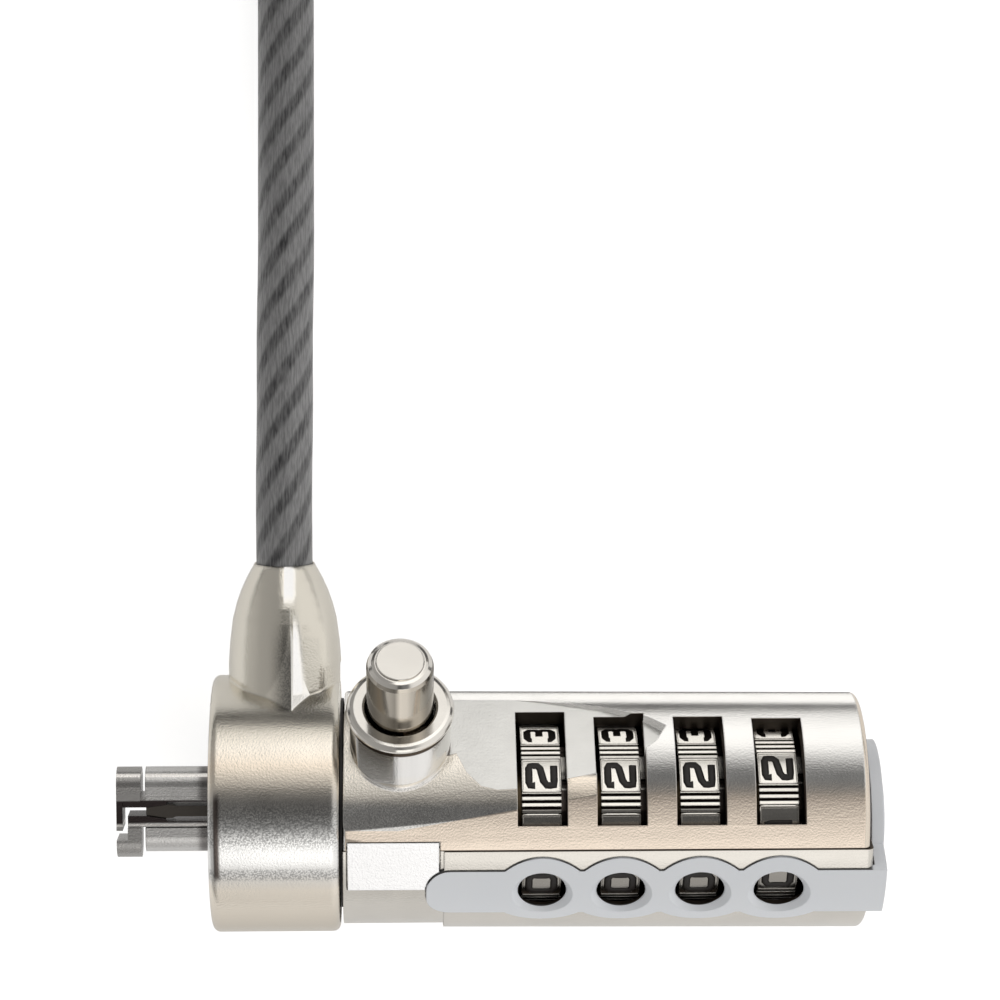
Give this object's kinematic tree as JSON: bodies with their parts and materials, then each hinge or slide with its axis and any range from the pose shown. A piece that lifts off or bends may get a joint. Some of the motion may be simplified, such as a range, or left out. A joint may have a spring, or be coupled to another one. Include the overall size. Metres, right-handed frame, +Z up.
{
  "type": "combination cable lock",
  "caption": "Laptop cable lock: a swivel collar on a looped steel cable, and a barrel with number wheels, a push button and a slot nose with hooked claws.",
  "frame": {"origin": "centre of the steel nose in the plane of the collar's front face", "axes": "+X along the barrel from the nose to the end cap, +Y along the cable boss towards the cable, +Z up from the table the lock lies on"},
  "size_m": [0.0827, 0.1532, 0.0257],
  "materials": {
    "nickel": "satin nickel plate on die-cast zinc",
    "polished_nickel": "polished nickel plate",
    "dark_steel": "blackened hardened steel",
    "steel": "plain",
    "spring_steel": "bright spring steel",
    "zinc": "as cast",
    "brass": "plain",
    "grey_plastic": "satin",
    "black_plastic": "matte",
    "cable_sheath": "smoky clear sheath over steel strands"
  },
  "bodies": {
    "cable_head": {"swivel_collar": "nickel", "cable_ferrule": "steel", "cable": "cable_sheath", "cable_coil": "cable_sheath", "eye_crimp_sleeve": "steel", "anchor_eye": "cable_sheath"},
    "lock_barrel": {"front_chassis": "zinc", "collar_clip": "spring_steel", "swivel_washer": "black_plastic", "nose_prongs": "dark_steel", "claw_pins": "steel", "upper_shell": "nickel", "lower_shell": "nickel", "seam_key": "nickel", "dial_window_trim": "grey_plastic", "button_bezel": "nickel", "rear_bushing": "zinc", "wheel_dividers": "zinc", "detent_comb": "spring_steel", "shell_screws": "steel", "spindle_spring": "spring_steel"},
    "dial_1": {"number_wheel_1": "nickel", "code_sleeve_1": "brass"},
    "dial_2": {"number_wheel_2": "nickel", "code_sleeve_2": "brass"},
    "dial_3": {"number_wheel_3": "nickel", "code_sleeve_3": "brass"},
    "dial_4": {"number_wheel_4": "nickel", "code_sleeve_4": "brass"},
    "push_button": {"push_button": "polished_nickel"},
    "spindle": {"locking_spindle": "zinc"},
    "upper_claw": {"claw_upper": "dark_steel"},
    "lower_claw": {"claw_lower": "dark_steel"},
    "reset_screw": {"reset_screw": "steel"}
  },
  "joints": [
    {"name": "barrel_swivel", "type": "hinge", "parent": "cable_head", "child": "lock_barrel", "pos_m": [0, 0.00045, 0], "axis": [1, 0, 0], "continuous": true},
    {"name": "dial_1_turn", "type": "hinge", "parent": "lock_barrel", "child": "dial_1", "pos_m": [0.0261, -0.0007, 0.0007], "axis": [1, 0, 0], "range_deg": [-360, 360], "deforming": ["detent_comb"]},
    {"name": "dial_2_turn", "type": "hinge", "parent": "lock_barrel", "child": "dial_2", "pos_m": [0.03233, -0.0007, 0.0007], "axis": [1, 0, 0], "range_deg": [-360, 360], "deforming": ["detent_comb"]},
    {"name": "dial_3_turn", "type": "hinge", "parent": "lock_barrel", "child": "dial_3", "pos_m": [0.03856, -0.0007, 0.0007], "axis": [1, 0, 0], "range_deg": [-360, 360], "deforming": ["detent_comb"]},
    {"name": "dial_4_turn", "type": "hinge", "parent": "lock_barrel", "child": "dial_4", "pos_m": [0.04479, -0.0007, 0.0007], "axis": [1, 0, 0], "range_deg": [-360, 360], "deforming": ["detent_comb"]},
    {"name": "button_press", "type": "slide", "parent": "lock_barrel", "child": "push_button", "axis": [0, -0.7314, -0.682], "range_m": [0, 0.0024], "stiffness_N_per_m": 1200, "springref_m": -0.0015},
    {"name": "spindle_slide", "type": "slide", "parent": "lock_barrel", "child": "spindle", "axis": [1, 0, 0], "range_m": [0, 0.0016], "deforming": ["spindle_spring"]},
    {"name": "upper_claw_turn", "type": "hinge", "parent": "lock_barrel", "child": "upper_claw", "pos_m": [0.007, 0.002, 0], "axis": [0, 0, 1], "range_deg": [0, 1.2]},
    {"name": "lower_claw_turn", "type": "hinge", "parent": "lock_barrel", "child": "lower_claw", "pos_m": [0.007, -0.002, 0], "axis": [0, 0, 1], "range_deg": [-1.2, 0]},
    {"name": "reset_screw_turn", "type": "hinge", "parent": "lock_barrel", "child": "reset_screw", "pos_m": [0.0525, -0.0007, 0.0007], "axis": [1, 0, 0], "range_deg": [0, 90]}
  ],
  "couplings": [
    {"joint": "spindle_slide", "follows": "button_press", "ratio": 0.66667},
    {"joint": "upper_claw_turn", "follows": "button_press", "rad_per_m": 8.7266},
    {"joint": "lower_claw_turn", "follows": "button_press", "rad_per_m": -8.7266}
  ]
}
